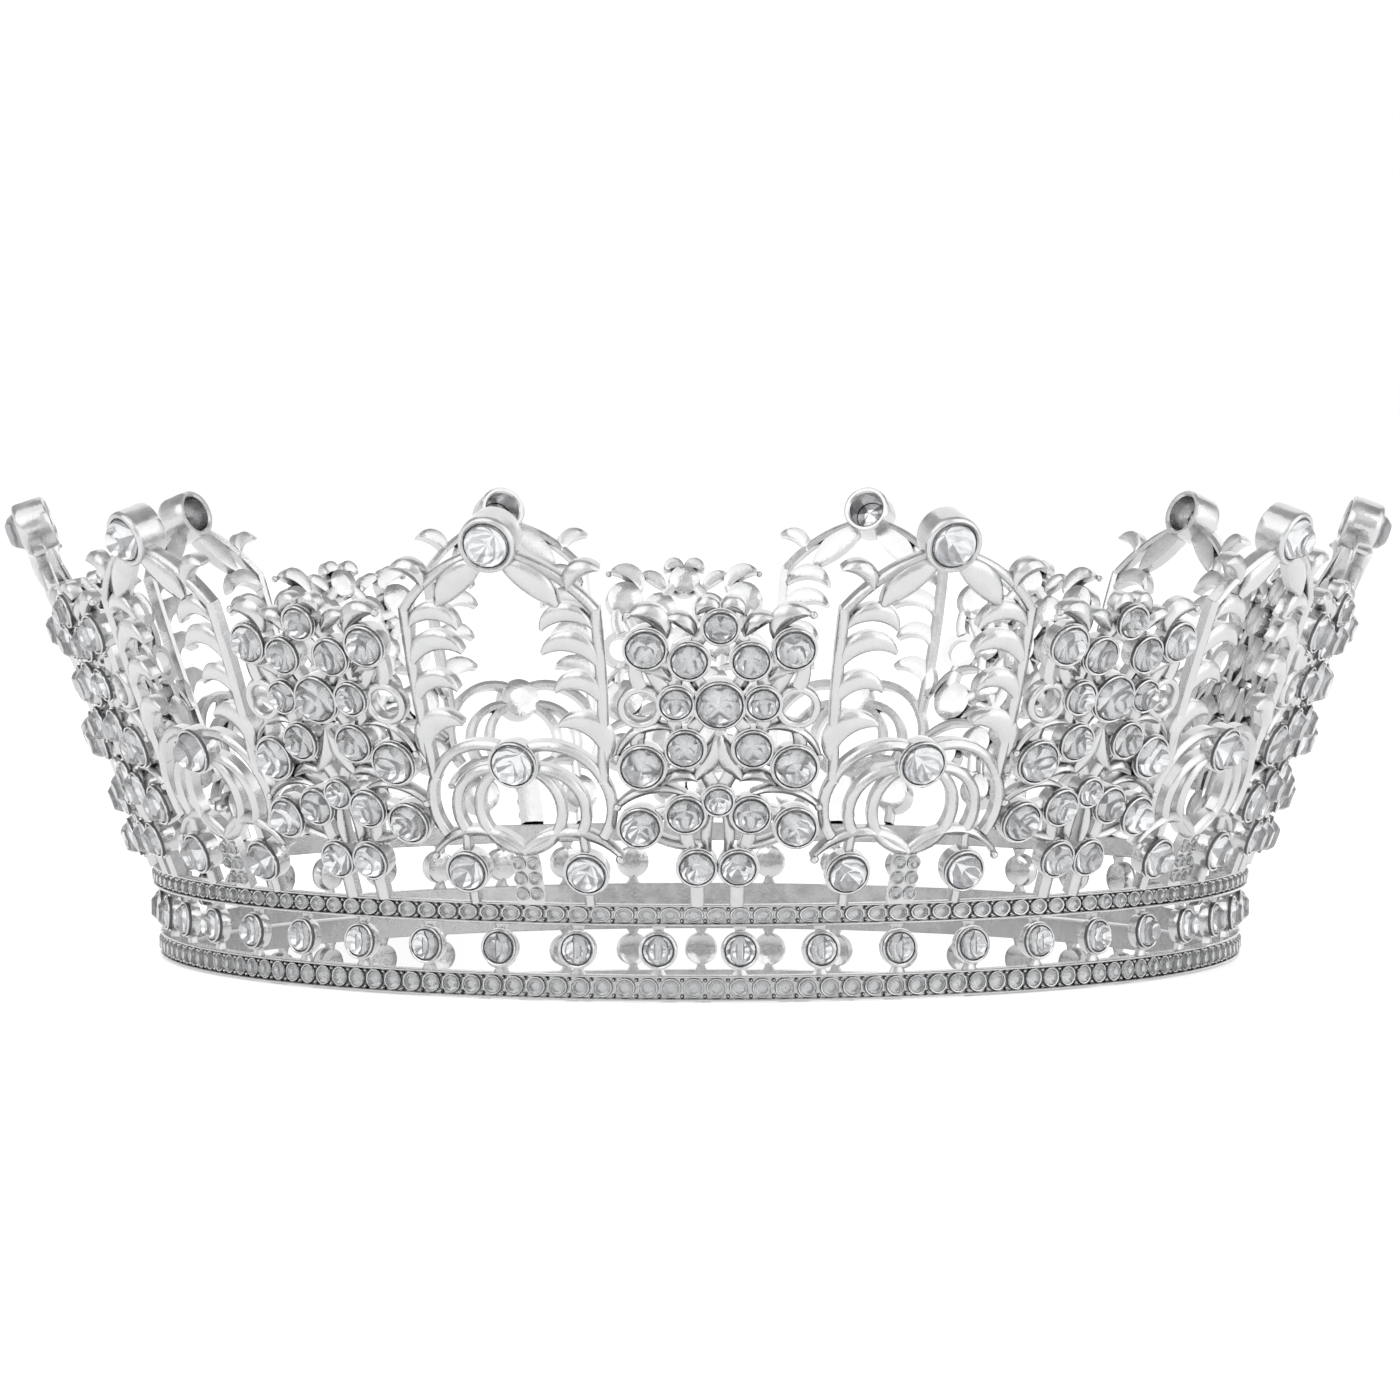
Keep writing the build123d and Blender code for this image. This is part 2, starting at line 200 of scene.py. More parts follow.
def cup(diameter, rim, front, back, girdle):
    """A cup with a softly domed back, and a groove under the thin lip that holds the stone, lined
    with a dark ring of painted shadow.
    """
    seat, outside = diameter / 2, diameter / 2 + rim
    belly, neck = outside + 0.12, outside - 0.1
    depth = girdle - PAVILION * diameter - 0.05
    dome = [(0.3 * outside, back - 0.1), (0.7 * outside, back), (outside - 0.15, back + 0.25),
            (outside, back + 0.7)]
    wall = [(belly, front - 0.75), (belly, front - 0.5), (neck, front - 0.45), (neck, front - 0.18)]
    lip = [(outside, front - 0.13), (outside - 0.03, front - 0.03), (outside - 0.15, front + 0.05),
           (seat - 0.02, front - 0.02)]
    bowl = [(seat - 0.05, girdle + 0.03), (seat + 0.02, girdle - 0.05), (0.1 * seat, depth)]
    # Painted shadow: a near-black ring on the groove's floor, seen as a dark crescent from the side.
    shadow = [(neck + 0.02, front - 0.46), (neck + 0.02, front - 0.17)]
    shape = capped(dome + wall + lip + bowl, CUP_SEGMENTS, POLISHED)
    shape.join(lathe(shadow, CUP_SEGMENTS, SHADE, closed=False))
    return shape


def stone(diameter, girdle):
    """A cut stone: an eight-sided table, stars, kites and girdle facets over a foiled cone."""
    radius, table_radius, middle_radius = diameter / 2, 0.27 * diameter, 0.39 * diameter
    edge, top = girdle + 0.03 * diameter, girdle + CROWN * diameter
    share = (middle_radius * math.cos(math.pi / 8) - table_radius) / (radius - table_radius)
    middle = top - (top - edge) * share

    def ring(count, r, w, start=0.0):
        step = 2 * math.pi / count
        return [(r * math.cos((i + start) * step), r * math.sin((i + start) * step), w)
                for i in range(count)]
    points = (ring(8, table_radius, top, 0.5) + ring(8, middle_radius, middle)
              + ring(16, radius - SHADOW_GAP, edge) + ring(16, radius, girdle)
              + [(0, 0, girdle - PAVILION * diameter)])
    table, mid, upper, lower, culet = 0, 8, 16, 32, 48
    crown = [tuple(range(8))]
    sides, groove = [], []
    for i in range(8):
        j = (i + 1) % 8
        crown.append((table + i, mid + j, table + j))
        crown.append((table + i, mid + i, upper + 2 * i + 1, mid + j))
        crown.append((mid + i, upper + 2 * i, upper + 2 * i + 1))
        crown.append((mid + j, upper + 2 * i + 1, upper + (2 * i + 2) % 16))
    for i in range(16):
        j = (i + 1) % 16
        groove.append((upper + i, lower + i, lower + j, upper + j))
        sides.append((lower + i, culet, lower + j))
    shape = Shape()
    shape.add(points, crown, GLASS, smooth=False)
    # The groove faces are painted shadow: a dark band standing for the gap between the stone and its
    # cup's lip.
    for faces, slot in ((sides, FOIL), (groove, SHADE)):
        shape.faces += faces
        shape.slots += [slot] * len(faces)
        shape.smooth += [False] * len(faces)
    return shape


def seed(diameter, height):
    """A small stone with eight facets, on a flat back of plain metal, in a thin round collar."""
    radius = diameter / 2
    step = math.pi / 4
    points = []
    for r, w, start in ((radius, 0.05, 0), (radius, 0.35 * height, 0), (0.58 * radius, height, 0.5)):
        points += [(r * math.cos((i + start) * step), r * math.sin((i + start) * step), w)
                   for i in range(8)]
    crown = [tuple(range(16, 24))]
    for i in range(8):
        j = (i + 1) % 8
        crown += [(i, j, 8 + j, 8 + i), (8 + i, 8 + j, 16 + i), (8 + j, 16 + j, 16 + i)]
    shape = Shape()
    shape.add(points, crown, GLASS, smooth=False)
    shape.faces.append(tuple(reversed(range(8))))
    shape.slots.append(METAL)
    shape.smooth.append(False)
    collar = [(radius + 0.02, 0), (radius + COLLAR, 0), (radius + COLLAR, 0.42 * height),
              (radius + 0.6 * COLLAR, 0.52 * height), (radius - 0.04, 0.5 * height)]
    shape.join(lathe(collar, COLLAR_SEGMENTS))
    return shape


# --- wires and leaves -----------------------------------------------------------------------------
def arc_points(start, middle, end, count):
    """Points along the circle through three places of the flat picture."""
    a, b, c = (np.asarray(p, float) for p in (start, middle, end))
    ab, ac = b - a, c - a
    cross = ab[0] * ac[1] - ab[1] * ac[0]
    if abs(cross) < 1e-6 * (ab @ ab + ac @ ac):
        return a + (c - a) * np.linspace(0, 1, count)[:, None]
    across = np.array([ac[1] * (ab @ ab) - ab[1] * (ac @ ac), ab[0] * (ac @ ac) - ac[0] * (ab @ ab)])
    centre = a + across / (2 * cross)
    first, last = (math.atan2(*(p - centre)[::-1]) for p in (a, c))
    full = 2 * math.pi
    sweep = (last - first) % full if cross > 0 else -((first - last) % full)
    angles = first + sweep * np.linspace(0, 1, count)
    return centre + np.linalg.norm(a - centre) * np.stack([np.cos(angles), np.sin(angles)], axis=1)


def blade(left, right, height, ridge=1.0, thick=WALL_THICK):
    """A cast strip between two edge lines, ridged or rounded in front, a little crowned behind."""
    left, right = np.asarray(left), np.asarray(right)
    width = np.linalg.norm(right - left, axis=1)
    lift = height * np.sqrt(np.clip(width / max(width.max(), 1e-6), 0.02, 1))
    across = [0.5, 0.08, 0.0, 0.14, 0.5, 0.86, 1.0, 0.92]
    out = [-thick - 0.25, -thick, 0.0, 0.55 * (2 - ridge), 1.0, 0.55 * (2 - ridge), 0.0, -thick]
    n, points = len(across), []
    for i in range(len(left)):
        for share, rise in zip(across, out):
            x, y = left[i] + (right[i] - left[i]) * share
            points.append((x, y, rise if rise < 0 else rise * lift[i] - 0.05))
    faces = []
    for i in range(len(left) - 1):
        for k in range(n):
            m = (k + 1) % n
            faces.append((i * n + k, i * n + m, (i + 1) * n + m, (i + 1) * n + k))
    last = (len(left) - 1) * n
    faces += [tuple(range(n))[::-1], tuple(last + k for k in range(n))]
    shape = Shape()
    shape.add(points, faces)
    return shape


def wire(places, width, height=0.55, taper=(1.0, 1.0), count=16):
    """A round-topped wire through two or three places (angle, height), thinner at tapered ends."""
    spots = [spot(*place) for place in places]
    if len(spots) == 2:
        spots.insert(1, (spots[0] + spots[1]) / 2)
    line = arc_points(*spots, count)
    along = np.gradient(line, axis=0)
    side = np.stack([-along[:, 1], along[:, 0]], axis=1) / np.linalg.norm(along, axis=1)[:, None]
    share = np.linspace(0, 1, count)
    thin = taper[0] + (1 - taper[0]) * np.clip(share * 3, 0, 1)
    thin *= taper[1] + (1 - taper[1]) * np.clip((1 - share) * 3, 0, 1)
    half = (side.T * thin * width / 2).T
    return blade(line + half, line - half, height)


def leaf(start, outer, end, inner, height=0.7, count=14):
    """A pointed leaf between two arcs that share their ends, with a ridge down its middle."""
    one = arc_points(spot(*start), spot(*outer), spot(*end), count + 2)[1:-1]
    two = arc_points(spot(*start), spot(*inner), spot(*end), count + 2)[1:-1]
    (ax, ay), (bx, by) = one[count // 2] - spot(*start), two[count // 2] - spot(*start)
    return blade(two, one, height, 0.9) if ax * by > ay * bx else blade(one, two, height, 0.9)


def ball(place, radius, w=0.2):
    """A small round grain at the end of a scroll."""
    rows, segments = BALL_ROWS, BALL_SEGMENTS
    profile = [(radius * math.cos(t), radius * math.sin(t)) for t in np.linspace(-1.45, 1.45, rows)]
    shape = lathe(profile, segments, closed=False)
    top, bottom = rows * segments, rows * segments + 1
    shape.add([(0, 0, radius), (0, 0, -radius)], [])
    for i in range(segments):
        j = (i + 1) % segments
        shape.faces += [(i * rows + rows - 1, j * rows + rows - 1, top), (j * rows, i * rows, bottom)]
        shape.slots += [METAL] * 2
        shape.smooth += [True] * 2
    moved = Shape()
    moved.join(shape, at(spot(*place), w))
    return moved


def add_wall_cup(casting, angle, height, size):
    """Adds a cup of the wall's usual depth to a casting."""
    wall_cup = cup(size, CUP_RIM, CUP_PROUD, -CUP_BACK, GIRDLE_PROUD)
    casting.join(wall_cup, at(spot(angle, height)))


def peak_casting():
    """The metal of one peak in the flat picture."""
    half = Shape()
    for part in (
        wire([(0, 19.2), (3.9, 24.6), (1.6, 29.6)], WIRE),                # teardrop under the stone
        wire([(0, 19.0), (5.4, 21.6), (9.2, 18.4)], WIRE, taper=(1, 0.5)),   # flank arch
        wire([(5.8, 12.3), (5.8, 15)], 1.4, count=5),
        wire([(5.8, 18.6), (5.6, 21.4)], THIN_WIRE, count=5),
        wire([(1.6, 29.8), (4.6, 28.6), (5.6, 21.8)], WIRE),
        wire([(1.4, 32.6), (4.8, 32.4), (7.8, 28.6)], WIRE),
        wire([(7.8, 28.6), (8.5, 25.2), (7.6, 21.2)], WIRE),
        wire([(7.8, 28.2), (8.2, 39.8), (8.05, 50.5)], WIRE),              # side stem
        wire([(8.1, 50.0), (6.6, 52.5), (1.6, 57.2)], 1.3, taper=(1, 0.7)),
        leaf((0.3, 56.8), (4.3, 54.9), (5.2, 50.4), (2.4, 52.6), 1.1),   # leaf of the ogee
        leaf((6.0, 52.4), (6.5, 56.4), (8.8, 55.2), (7.3, 54.6), 1.0),   # outward curl
        leaf((7.9, 47.6), (5.4, 51.2), (3.4, 47.2), (5.4, 48.8)),        # inward leaves
        leaf((8.1, 42.4), (6.0, 47.6), (3.2, 44.2), (5.6, 45.0)),
        leaf((8.1, 37.6), (6.2, 42.6), (4.1, 39.4), (5.8, 40.2)),
        leaf((8.0, 30.6), (6.2, 37.4), (4.0, 35.2), (5.8, 35.0)),
        ball((9.0, 18.4), 0.6),
    ):
        half.join(part)
    add_wall_cup(half, *FLANK_STONE)
    whole = Shape()
    whole.join(half)
    whole.join(half.mirrored())
    whole.join(wire([(0, 12.3), (0, 19.8)], 3.6, 0.3, taper=(1, 0.6), count=8))
    add_wall_cup(whole, *PEAK_STONE)
    return whole


def fan_casting():
    """The metal of one fan in the flat picture: cups joined by small wires, with scrolls outside."""
    half = Shape()
    veins = [((2.5, 44.2), (3.6, 41.6), (3.6, 38.8)),
             ((3.6, 38.8), (5.4, 42.0), (6.0, 45.7)),
             ((0, 48.5), (1.6, 46.9), (2.5, 44.2)), ((2.5, 44.2), (4.4, 43.6), (6.0, 45.7)),
             ((2.5, 44.2), (1.8, 41.2), (0, 38.6)), ((0, 38.6), (1.8, 36.0), (2.9, 33.0)),
             ((3.6, 38.8), (3.8, 36.0), (2.9, 33.0)), ((2.9, 33.0), (4.6, 31.2), (6.6, 30.6)),
             ((2.9, 33.0), (1.4, 30.2), (0, 26.3)), ((2.9, 24.5), (4.9, 24.4), (7.0, 22.8)),
             ((2.9, 24.5), (2.8, 21.0), (1.9, 17.6)), ((1.9, 12.3), (1.9, 16.0)),
             ((6.0, 45.7), (6.9, 43.2), (6.6, 40.4)), ((6.6, 35.6), (7.0, 33.2), (6.6, 30.6))]
    for places in veins:
        half.join(wire(places, VEIN, 0.5, count=10))
    for part in (
        wire([(3.4, 35.0), (6.4, 35.2), (8.8, 31.6)], THIN_WIRE, taper=(0.5, 0.5)),
        wire([(2.9, 26.8), (6.0, 27.4), (9.0, 25.2)], THIN_WIRE, taper=(0.5, 0.7)),
        wire([(1.8, 20.0), (4.6, 20.6), (7.0, 22.4)], THIN_WIRE, taper=(0.5, 1)),
        leaf((0, 50.2), (1.2, 52.0), (1.9, 49.6), (0.8, 50.2)),
        leaf((4.4, 46.4), (4.9, 50.9), (7.5, 49.6), (5.8, 48.7), 1.0),
        leaf((1.9, 46.9), (2.6, 49.8), (4.4, 49.4), (3.2, 48.0), 0.9),
        leaf((3.9, 41.2), (4.6, 43.3), (6.5, 42.6), (5.2, 41.8)),        # petals between the cups
        leaf((0.1, 34.9), (1.5, 32.2), (2.3, 28.4), (0.2, 30.4), 0.8),
        leaf((1.6, 28.4), (3.4, 30.1), (5.2, 27.8), (3.4, 28.5)),
        leaf((0.2, 25.4), (1.6, 22.0), (0.5, 18.4), (0.5, 21.8)),
        ball((7.4, 49.8), SCROLL_BALL),
        ball((9.0, 25.2), SCROLL_BALL),
        ball((8.8, 31.6), SCROLL_BALL),
    ):
        half.join(part)
    ring_profile = [(1.9, -1.3), (3.0, -1.3), (3.0, 0.0), (2.75, 0.35), (2.45, 0.45), (2.15, 0.35),
                    (1.9, 0)]
    half.join(lathe(ring_profile, RING_SEGMENTS), at(spot(6.6, 38.0)))
    whole = Shape()
    whole.join(half)
    whole.join(half.mirrored())
    for place in both_sides(FAN_LARGE + FAN_MEDIUM + FAN_SMALL):
        add_wall_cup(whole, *place)
    return whole


def both_sides(stones):
    """The stones with their mirror images; one on the middle line stays single."""
    return [(side * angle, height, size) for angle, height, size in stones
            for side in ((1, -1) if angle else (1,))]


# --- meshes ---------------------------------------------------------------------------------------
def make_object(name, shape, nodes):
    """The shape's object, in metres, riding on the crown in the place of CAD nodes."""
    mesh = bpy.data.meshes.new(name)
    mesh.from_pydata((np.concatenate(shape.points) * MM).tolist(), [], shape.faces)
    used = sorted(set(shape.slots))
    for index in used:
        mesh.materials.append(MATERIALS[index])
    mesh.polygons.foreach_set("material_index", [used.index(i) for i in shape.slots])
    mesh.polygons.foreach_set("use_smooth", shape.smooth)
    mesh.set_sharp_from_angle(angle=SHARP_EDGE)
    mesh.update()
    obj = bpy.data.objects.new(name, mesh)
    bpy.context.scene.collection.objects.link(obj)
    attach(obj, "root")
    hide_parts(*nodes)
    return obj


def round_the_crown(shape, turns, roll=bend):
    """Copies of a flat shape, rolled and turned to each angle."""
    copies = Shape()
    for turn in turns:
        copies.join(shape, lambda points, turn=turn: roll(points, turn))
    return copies


# --- the band -------------------------------------------------------------------------------------
def rail(foot, top, inner, outer):
    """A ring with softened edges and a channel round its outside."""
    floor, r = outer - GROOVE_DEPTH, 0.1
    profile = [(inner, foot + r), (inner + r, foot), (outer - r, foot), (outer, foot + r),
               (outer, foot + FLANGE - r), (outer - r, foot + FLANGE), (floor, foot + FLANGE + 0.05),
               (floor, top - FLANGE - 0.05), (outer - r, top - FLANGE), (outer, top - FLANGE + r),
               (outer, top - r), (outer - r, top), (inner + r, top), (inner, top - r)]
    return lathe(profile, RAIL_SEGMENTS)


def bead_row(foot, top, outer, **_):
    """One step of the beaded channel: a seed in its collar, and two grains that hold it."""
    room = top - foot - 2 * FLANGE
    half_pitch = math.pi * (outer - 0.5) / BEADS
    play, gap = 0.08, 0.25
    stretch = (2 * half_pitch - gap) / (room - play)
    step = Shape()
    step.join(seed(room - play - 2 * COLLAR, SEED_HEIGHT), lambda p: p * [stretch, 1, 1])
    for side in (-1, 1):
        step.join(grain(GRAIN), lambda p, side=side: p + [half_pitch, side * (room / 2 - 0.32), 0])
    return step


def grain(radius):
    """A low bead of metal, sunk in what it stands on."""
    profile = [(radius, -0.1), (radius, 0.25), (0.72 * radius, 0.55), (0.3 * radius, 0.68)]
    return capped(profile, GRAIN_SEGMENTS)


def band_setting():
    """A cup with a post that widens where it meets the two rails."""
    half = (UPPER_RAIL["foot"] - LOWER_RAIL["top"]) / 2 + 0.02
    y = np.linspace(-half, half, 13)
    side = 0.5 + 0.55 * np.abs(y / half) ** 5
    setting = Shape()
    post = blade(np.stack([-side, y], axis=1), np.stack([side, y], axis=1), 0.35, thick=0.8)
    setting.join(post, at((0, 0), -1.0))
    rim = (BAND_CUP_D - BAND_STONE_D) / 2
    setting.join(cup(BAND_STONE_D, rim, 0.0, -BAND_CUP_DEPTH, -GIRDLE_SUNK))
    return setting


# --- the tips -------------------------------------------------------------------------------------
def tip_cup():
    """A deep open-backed cup with a thick rounded lip."""
    back, front = TIP_CUP_PROUD - TIP_CUP_DEPTH, TIP_CUP_PROUD
    seat, outside = TIP_STONE_D / 2, TIP_CUP_D / 2
    profile = [(2.7, back + 0.25), (2.95, back), (outside - 0.35, back), (outside - 0.1, back + 0.25),
               (outside, back + 1.2), (outside + 0.06, front - 0.8), (outside, front - 0.25),
               (outside - 0.2, front), (seat + 0.25, front + 0.08), (seat, front - 0.1),
               (seat - 0.03, front - 0.32), (2.3, 0.1), (2.45, -0.5)]
    return lathe(profile, TIP_CUP_SEGMENTS)


# --- materials ------------------------------------------------------------------------------------
def new_material(name):
    """An empty node material, with its principled shader."""
    material = bpy.data.materials.new(name)
    material.use_nodes = True
    return material, material.node_tree.nodes, material.node_tree.links


def silver(name, tone=(0.60, 0.602, 0.605), shine=0.2):
    """Bright plating over a casting: soft ripples and fine pits, with painted shade that darkens the
    colour in the recesses.
    """
    material, nodes, links = new_material(name)
    shader = nodes["Principled BSDF"]
    shader.inputs["Metallic"].default_value = 1.0
    where = nodes.new("ShaderNodeTexCoord")
    ripple = nodes.new("ShaderNodeTexNoise")
    ripple.inputs["Scale"].default_value = 420
    ripple.inputs["Detail"].default_value = 3
    pits = nodes.new("ShaderNodeTexNoise")
    pits.inputs["Scale"].default_value = 2600
    pits.inputs["Detail"].default_value = 2
    for texture in (ripple, pits):
        links.new(where.outputs["Object"], texture.inputs["Vector"])
    rough = nodes.new("ShaderNodeMapRange")
    rough.inputs["From Min"].default_value, rough.inputs["From Max"].default_value = 0.3, 0.75
    rough.inputs["To Min"].default_value = 0.6 * shine
    rough.inputs["To Max"].default_value = 1.9 * shine
    links.new(ripple.outputs["Fac"], rough.inputs["Value"])
    links.new(rough.outputs["Result"], shader.inputs["Roughness"])
    # Painted shade: the colour falls to 0.72 of its tone where ambient occlusion finds a recess.
    painted_recess_shade = nodes.new("ShaderNodeAmbientOcclusion")
    painted_recess_shade.inputs["Distance"].default_value = 0.0022
    painted_recess_shade.samples = 6
    ramp = nodes.new("ShaderNodeValToRGB")
    ramp.color_ramp.elements[0].position, ramp.color_ramp.elements[1].position = 0.15, 0.75
    ramp.color_ramp.elements[0].color = (*[0.72 * c for c in tone], 1)
    ramp.color_ramp.elements[1].color = (*tone, 1)
    links.new(painted_recess_shade.outputs["AO"], ramp.inputs["Fac"])
    cloud = nodes.new("ShaderNodeMix")
    cloud.data_type, cloud.blend_type = "RGBA", "MULTIPLY"
    cloud.inputs["Factor"].default_value = 0.25
    links.new(ramp.outputs["Color"], cloud.inputs["A"])
    links.new(ripple.outputs["Fac"], cloud.inputs["B"])
    links.new(cloud.outputs["Result"], shader.inputs["Base Color"])
    height = nodes.new("ShaderNodeMix")
    height.data_type = "FLOAT"
    height.inputs["Factor"].default_value = 0.25
    links.new(ripple.outputs["Fac"], height.inputs["A"])
    links.new(pits.outputs["Fac"], height.inputs["B"])
    bump = nodes.new("ShaderNodeBump")
    bump.inputs["Strength"].default_value = 0.35
    bump.inputs["Distance"].default_value = 0.00025
    links.new(height.outputs["Result"], bump.inputs["Height"])
    links.new(bump.outputs["Normal"], shader.inputs["Normal"])
    return material


def crystal():
    """Clear cut glass, very slightly uneven from facet to facet."""
    material, nodes, links = new_material("crystal")
    shader = nodes["Principled BSDF"]
    shader.inputs["Transmission Weight"].default_value = 0.9
    shader.inputs["IOR"].default_value = 1.58
    shader.inputs["Roughness"].default_value = 0.0
    where = nodes.new("ShaderNodeTexCoord")
    haze = nodes.new("ShaderNodeTexNoise")
    haze.inputs["Scale"].default_value = 350
    links.new(where.outputs["Object"], haze.inputs["Vector"])
    tint = nodes.new("ShaderNodeValToRGB")
    tint.color_ramp.elements[0].color = (0.86, 0.88, 0.90, 1)
    tint.color_ramp.elements[1].color = (0.98, 0.98, 0.99, 1)
    links.new(haze.outputs["Fac"], tint.inputs["Fac"])
    links.new(tint.outputs["Color"], shader.inputs["Base Color"])
    return material


def foil():
    """The mirror coat on the back of a stone, with painted glints and painted shade: some facets
    bright and others dull by the way they face.
    """
    material, nodes, links = new_material("foil")
    shader = nodes["Principled BSDF"]
    shader.inputs["Metallic"].default_value = 1.0
    # Painted glints and shade: noise on each facet's facing picks which facets are bright and which
    # dull; the speckle below is random tone.
    facet = nodes.new("ShaderNodeTexNoise")
    facet.inputs["Scale"].default_value = 7
    facet.inputs["Detail"].default_value = 1
    links.new(nodes.new("ShaderNodeNewGeometry").outputs["True Normal"], facet.inputs["Vector"])
    tone = nodes.new("ShaderNodeValToRGB")
    tone.color_ramp.elements[0].position, tone.color_ramp.elements[1].position = 0.40, 0.58
    tone.color_ramp.elements[0].color = (0.18, 0.18, 0.19, 1)
    tone.color_ramp.elements[1].color = (0.76, 0.76, 0.77, 1)
    links.new(facet.outputs["Fac"], tone.inputs["Fac"])
    speck = nodes.new("ShaderNodeTexNoise")
    speck.inputs["Scale"].default_value = 1300
    links.new(nodes.new("ShaderNodeTexCoord").outputs["Object"], speck.inputs["Vector"])
    mottle = nodes.new("ShaderNodeMix")
    mottle.data_type, mottle.blend_type = "RGBA", "OVERLAY"
    mottle.inputs["Factor"].default_value = 0.6
    links.new(tone.outputs["Color"], mottle.inputs["A"])
    links.new(speck.outputs["Fac"], mottle.inputs["B"])
    links.new(mottle.outputs["Result"], shader.inputs["Base Color"])
    shader.inputs["Roughness"].default_value = 0.06
    return material


def floor_paint():
    """Plain pale studio floor, polished inside the band only, where it mirrors the band's back."""
    material, nodes, links = new_material("floor")
    shader = nodes["Principled BSDF"]
    where = nodes.new("ShaderNodeTexCoord")
    cloud = nodes.new("ShaderNodeTexNoise")
    cloud.inputs["Scale"].default_value = 3
    links.new(where.outputs["Object"], cloud.inputs["Vector"])
    tone = nodes.new("ShaderNodeValToRGB")
    tone.color_ramp.elements[0].color = (0.90, 0.90, 0.90, 1)
    tone.color_ramp.elements[1].color = (0.93, 0.93, 0.93, 1)
    links.new(cloud.outputs["Fac"], tone.inputs["Fac"])
    links.new(tone.outputs["Color"], shader.inputs["Base Color"])
    shader.inputs["Roughness"].default_value = 0.6
    shader.inputs["Specular IOR Level"].default_value = 0.2
    shader.inputs["Emission Color"].default_value = (1, 1, 1, 1)
    shader.inputs["Emission Strength"].default_value = 0.45
    polish = nodes.new("ShaderNodeBsdfGlossy")
    polish.inputs["Roughness"].default_value = 0.005
    reach = nodes.new("ShaderNodeVectorMath")
    reach.operation = "LENGTH"
    links.new(where.outputs["Object"], reach.inputs[0])
    inside = nodes.new("ShaderNodeMapRange")
    inside.inputs["From Min"].default_value = LOWER_RAIL["inner"] * MM
    inside.inputs["From Max"].default_value = LOWER_RAIL["outer"] * MM
    inside.inputs["To Min"].default_value, inside.inputs["To Max"].default_value = 1.6, 0.0
    links.new(reach.outputs["Value"], inside.inputs["Value"])
    fresnel = nodes.new("ShaderNodeFresnel")
    share = nodes.new("ShaderNodeMath")
    share.operation, share.use_clamp = "MULTIPLY", True
    links.new(inside.outputs["Result"], share.inputs[0])
    links.new(fresnel.outputs["Fac"], share.inputs[1])
    both = nodes.new("ShaderNodeMixShader")
    links.new(share.outputs["Value"], both.inputs["Fac"])
    links.new(shader.outputs["BSDF"], both.inputs[1])
    links.new(polish.outputs["BSDF"], both.inputs[2])
    links.new(both.outputs["Shader"], nodes["Material Output"].inputs["Surface"])
    return material


# --- studio ---------------------------------------------------------------------------------------
CAMERA_AT = (-0.0232, -0.8294, 0.0757)
CAMERA_PITCH, CAMERA_TURN, CAMERA_FOV = -2.827, 1.6, 13.416
FLOOR_HALF, FLOOR_DROP = 30.0, 0.0002
SOFTBOXES = [("key_light", (-0.9, -0.9, 1.3), 2.0, 13), ("fill_light", (1.2, -0.7, 0.6), 1.6, 7),
             ("back_light", (0.3, 1.3, 1.1), 1.8, 9)]   # name, place, size, power
GAMMA = 1.2


def add_camera():
    """The camera, which looks a little down at the crown's front."""
    data = bpy.data.cameras.new("camera")
    data.sensor_fit = "HORIZONTAL"
    data.angle = math.radians(CAMERA_FOV)
    camera = bpy.data.objects.new("camera", data)
    camera.location = CAMERA_AT
    camera.rotation_euler = (math.radians(90 + CAMERA_PITCH), 0, -math.radians(CAMERA_TURN))
    bpy.context.scene.collection.objects.link(camera)
    bpy.context.scene.camera = camera


def add_floor():
    """A wide floor under the crown's foot."""
    mesh = bpy.data.meshes.new("floor")
    size = FLOOR_HALF
    corners = [(-size, -size, 0), (size, -size, 0), (size, size, 0), (-size, size, 0)]
    mesh.from_pydata(corners, [], [(0, 1, 2, 3)])
    floor = bpy.data.objects.new("floor", mesh)
    floor.location.z = cad_box[0][2] - FLOOR_DROP
    mesh.materials.append(floor_paint())
    bpy.context.scene.collection.objects.link(floor)


def add_softbox(name, place, size, power):
    """A square soft light that faces the crown."""
    data = bpy.data.lights.new(name, "AREA")
    data.shape, data.size, data.energy = "SQUARE", size, power
    light = bpy.data.objects.new(name, data)
    light.location = place
    light.rotation_euler = (Vector((0, 0, 0.03)) - Vector(place)).to_track_quat("-Z", "Y").to_euler()
    bpy.context.scene.collection.objects.link(light)


